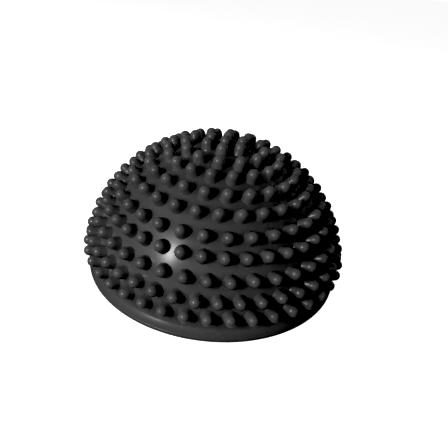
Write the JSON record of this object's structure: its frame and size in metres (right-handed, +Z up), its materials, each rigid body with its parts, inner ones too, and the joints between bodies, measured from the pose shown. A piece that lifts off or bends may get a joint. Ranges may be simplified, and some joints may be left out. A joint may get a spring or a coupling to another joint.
{
  "type": "balance dome trainer",
  "caption": "Hollow half-ball balance pod of soft PVC, covered in rounded massage nubs, with a ribbed flat base and a peg valve underneath.",
  "frame": {"origin": "middle of the flat underside, on the surface that the dome stands on", "axes": "+Z up through the top of the dome; -Y is the side that the nub rows are turned from"},
  "size_m": [0.1666, 0.1666, 0.0858],
  "materials": {
    "dome_pvc": "black soft PVC with a satin skin",
    "base_pvc": "black soft PVC, a little duller than the dome",
    "valve_rubber": "dull black rubber",
    "plug_plastic": "smooth black plastic"
  },
  "bodies": {
    "pod": {"dome_shell": "dome_pvc", "base_disc": "base_pvc", "valve_seat": "valve_rubber"},
    "plug": {"valve_plug": "plug_plastic"}
  },
  "joints": [
    {"name": "plug_pull", "type": "slide", "parent": "pod", "child": "plug", "axis": [0, 0, -1], "range_m": [0, 0.016]}
  ]
}
